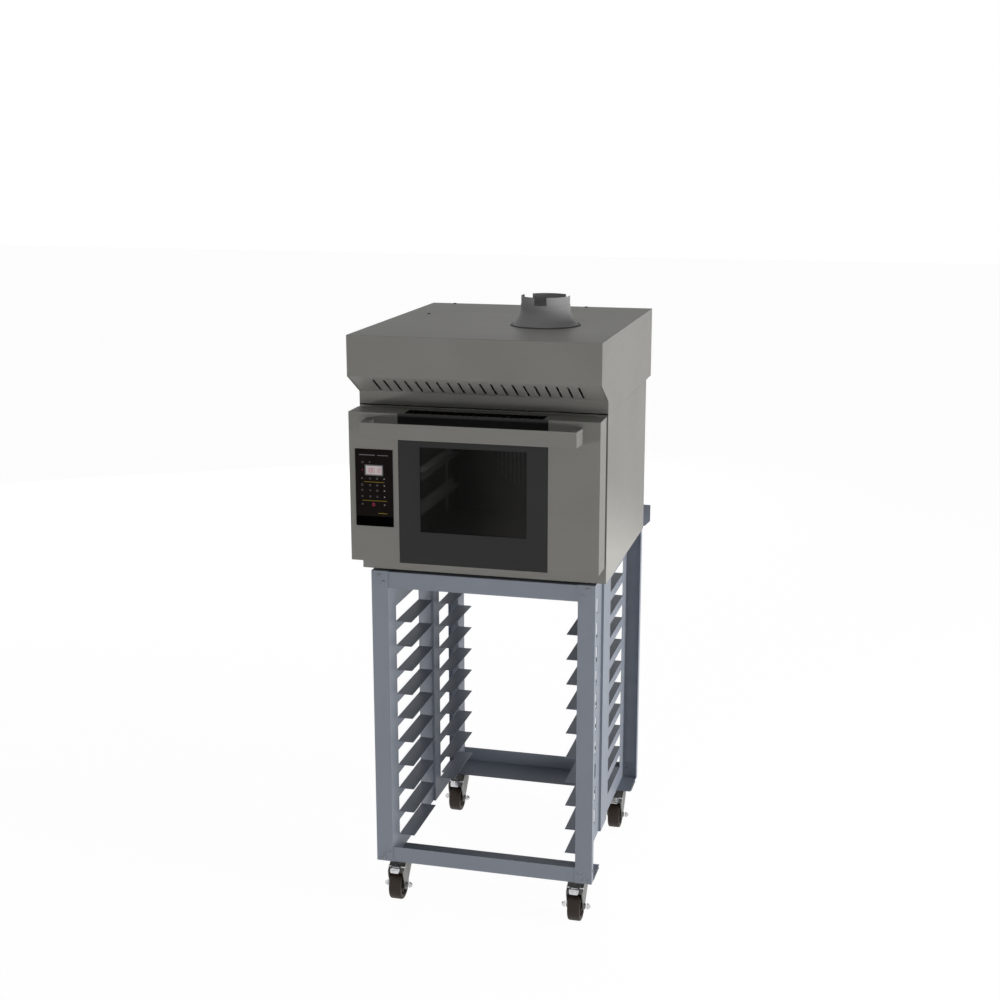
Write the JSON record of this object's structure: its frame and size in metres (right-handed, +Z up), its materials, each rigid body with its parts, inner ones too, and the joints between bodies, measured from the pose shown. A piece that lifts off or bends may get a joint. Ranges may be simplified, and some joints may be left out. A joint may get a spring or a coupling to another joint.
{
  "type": "convection oven",
  "caption": "Convection oven with drop-down glazed door and extraction hood, standing on a wheeled frame with tray slides.",
  "frame": {"origin": "middle of the floor area under the whole object, at floor height", "axes": "+Z up, -Y towards the user in front of the door, +X to the right seen from the front"},
  "size_m": [0.6, 0.8082, 1.533],
  "materials": {
    "hood_steel": "satin warm grey steel",
    "body_steel": "satin warm grey steel",
    "inner_steel": "bare stainless steel",
    "filter_metal": "bare aluminium",
    "blower_metal": "galvanised grey",
    "motor_black": "satin black",
    "collar_grey": "satin dark grey",
    "screw_zinc": "bright zinc",
    "wool": "mineral wool",
    "seal_rubber": "matt black",
    "heater_metal": "oxidised steel",
    "board_green": "circuit board",
    "black_plastic": "satin black",
    "brass_valve": "nickel-free brass",
    "tinted_glass": "dark tinted",
    "clear_glass": "clear",
    "panel_black": "gloss black",
    "display": "lit display",
    "stand_blue_grey": "satin blue grey",
    "caster_zinc": "zinc plated",
    "wheel_rubber": "dark brown",
    "pedal_zinc": "bright zinc"
  },
  "bodies": {
    "oven_on_stand": {"hood_shell": "hood_steel", "louvre_panel": "hood_steel", "hood_base": "inner_steel", "grease_filter": "filter_metal", "blower_housing": "blower_metal", "blower_motor": "motor_black", "flue_collar": "collar_grey", "hood_screws": "screw_zinc", "oven_casing": "body_steel", "base_pan": "body_steel", "rear_panel": "body_steel", "front_frame": "body_steel", "cavity_liner": "inner_steel", "insulation": "wool", "door_gasket": "seal_rubber", "fan_baffle": "inner_steel", "heating_element": "heater_metal", "fan_motor": "motor_black", "left_rack": "inner_steel", "right_rack": "inner_steel", "power_board": "board_green", "cable_gland": "black_plastic", "water_valve": "brass_valve", "steam_duct": "inner_steel", "oven_feet": "seal_rubber", "hinge_brackets": "screw_zinc", "stand_left_side": "stand_blue_grey", "stand_right_side": "stand_blue_grey", "stand_top_front_rail": "stand_blue_grey", "stand_top_rear_rail": "stand_blue_grey", "stand_bottom_front_rail": "stand_blue_grey", "stand_bottom_rear_rail": "stand_blue_grey", "stand_rear_stops": "stand_blue_grey", "stand_screws": "screw_zinc", "caster_plates": "caster_zinc"},
    "door": {"door_skin": "body_steel", "door_inner_panel": "inner_steel", "door_vent": "black_plastic", "outer_glass": "tinted_glass", "inner_glass": "clear_glass", "handle": "body_steel", "control_panel": "panel_black", "display_window": "display", "control_board": "board_green", "hinge_arms": "screw_zinc"},
    "chamber_fan": {"fan_wheel": "blower_metal"},
    "hood_blower": {"blower_wheel": "blower_metal"},
    "caster_front_left": {"fork_front_left": "caster_zinc"},
    "roller_front_left": {"wheel_front_left": "wheel_rubber"},
    "brake_front_left": {"pedal_front_left": "pedal_zinc"},
    "caster_front_right": {"fork_front_right": "caster_zinc"},
    "roller_front_right": {"wheel_front_right": "wheel_rubber"},
    "brake_front_right": {"pedal_front_right": "pedal_zinc"},
    "caster_rear_left": {"fork_rear_left": "caster_zinc"},
    "roller_rear_left": {"wheel_rear_left": "wheel_rubber"},
    "brake_rear_left": {"pedal_rear_left": "pedal_zinc"},
    "caster_rear_right": {"fork_rear_right": "caster_zinc"},
    "roller_rear_right": {"wheel_rear_right": "wheel_rubber"},
    "brake_rear_right": {"pedal_rear_right": "pedal_zinc"}
  },
  "joints": [
    {"name": "door_hinge", "type": "hinge", "parent": "oven_on_stand", "child": "door", "pos_m": [0, -0.2881, 0.931], "axis": [1, 0, 0], "range_deg": [0, 90], "stiffness_Nm_per_rad": 3.5, "springref_deg": -97.4},
    {"name": "chamber_fan_spin", "type": "hinge", "parent": "oven_on_stand", "child": "chamber_fan", "pos_m": [0, 0.1159, 1.092], "axis": [0, 1, 0], "continuous": true},
    {"name": "hood_blower_spin", "type": "hinge", "parent": "oven_on_stand", "child": "hood_blower", "pos_m": [0.105, -0.0631, 1.35], "axis": [0, 0, 1], "continuous": true},
    {"name": "swivel_front_left", "type": "hinge", "parent": "oven_on_stand", "child": "caster_front_left", "pos_m": [-0.232, -0.2141, 0.1015], "axis": [0, 0, 1], "continuous": true},
    {"name": "roll_front_left", "type": "hinge", "parent": "caster_front_left", "child": "roller_front_left", "pos_m": [-0.232, -0.2441, 0.0375], "axis": [1, 0, 0], "continuous": true},
    {"name": "brake_front_left", "type": "hinge", "parent": "caster_front_left", "child": "brake_front_left", "pos_m": [-0.232, -0.2581, 0.092], "axis": [1, 0, 0], "range_deg": [0, 16]},
    {"name": "swivel_front_right", "type": "hinge", "parent": "oven_on_stand", "child": "caster_front_right", "pos_m": [0.232, -0.2141, 0.1015], "axis": [0, 0, 1], "continuous": true},
    {"name": "roll_front_right", "type": "hinge", "parent": "caster_front_right", "child": "roller_front_right", "pos_m": [0.232, -0.2441, 0.0375], "axis": [1, 0, 0], "continuous": true},
    {"name": "brake_front_right", "type": "hinge", "parent": "caster_front_right", "child": "brake_front_right", "pos_m": [0.232, -0.2581, 0.092], "axis": [1, 0, 0], "range_deg": [0, 16]},
    {"name": "swivel_rear_left", "type": "hinge", "parent": "oven_on_stand", "child": "caster_rear_left", "pos_m": [-0.232, 0.3379, 0.1015], "axis": [0, 0, 1], "continuous": true},
    {"name": "roll_rear_left", "type": "hinge", "parent": "caster_rear_left", "child": "roller_rear_left", "pos_m": [-0.232, 0.3079, 0.0375], "axis": [1, 0, 0], "continuous": true},
    {"name": "brake_rear_left", "type": "hinge", "parent": "caster_rear_left", "child": "brake_rear_left", "pos_m": [-0.232, 0.2939, 0.092], "axis": [1, 0, 0], "range_deg": [0, 16]},
    {"name": "swivel_rear_right", "type": "hinge", "parent": "oven_on_stand", "child": "caster_rear_right", "pos_m": [0.232, 0.3379, 0.1015], "axis": [0, 0, 1], "continuous": true},
    {"name": "roll_rear_right", "type": "hinge", "parent": "caster_rear_right", "child": "roller_rear_right", "pos_m": [0.232, 0.3079, 0.0375], "axis": [1, 0, 0], "continuous": true},
    {"name": "brake_rear_right", "type": "hinge", "parent": "caster_rear_right", "child": "brake_rear_right", "pos_m": [0.232, 0.2939, 0.092], "axis": [1, 0, 0], "range_deg": [0, 16]}
  ]
}
